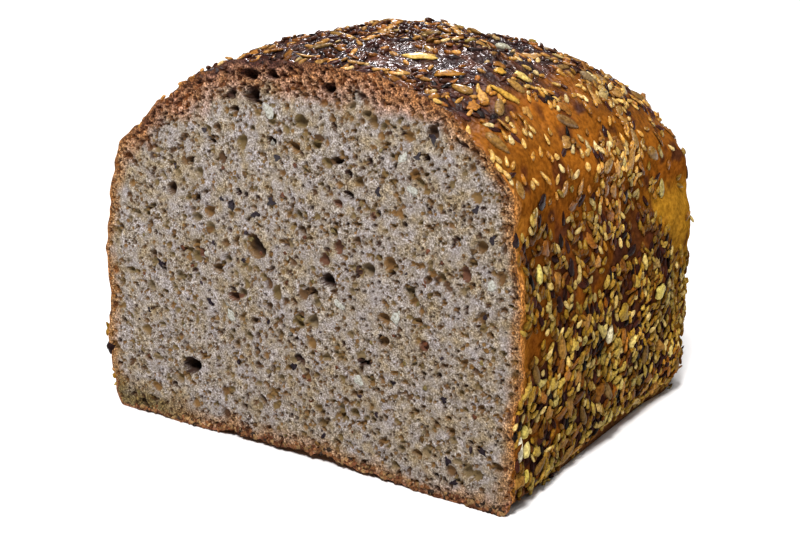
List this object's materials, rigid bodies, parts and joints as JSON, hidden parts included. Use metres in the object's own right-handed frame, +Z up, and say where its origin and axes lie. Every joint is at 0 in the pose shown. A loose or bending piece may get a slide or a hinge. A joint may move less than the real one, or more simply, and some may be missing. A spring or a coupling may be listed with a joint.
{
  "type": "cut seeded spelt bread loaf",
  "caption": "Cut half of a domed tin loaf of seeded spelt bread: open porous crumb on one flat face, dark seeded crust on the top, sides and far end, flat base to stand on.",
  "frame": {"origin": "middle of the flat base, on the surface the loaf stands on", "axes": "+Z up, -Y out of the cut face, +Y towards the crusted end, X across the width with the side seen in the picture at +X"},
  "size_m": [0.1599, 0.148, 0.1276],
  "materials": {
    "crust": "baked crust, uneven brown to near black, half glossy",
    "crumb": "open greyish brown wholegrain crumb, matt",
    "seeds": "toasted seeds and flakes, satin"
  },
  "bodies": {
    "root": {"loaf": "crust"}
  },
  "joints": []
}
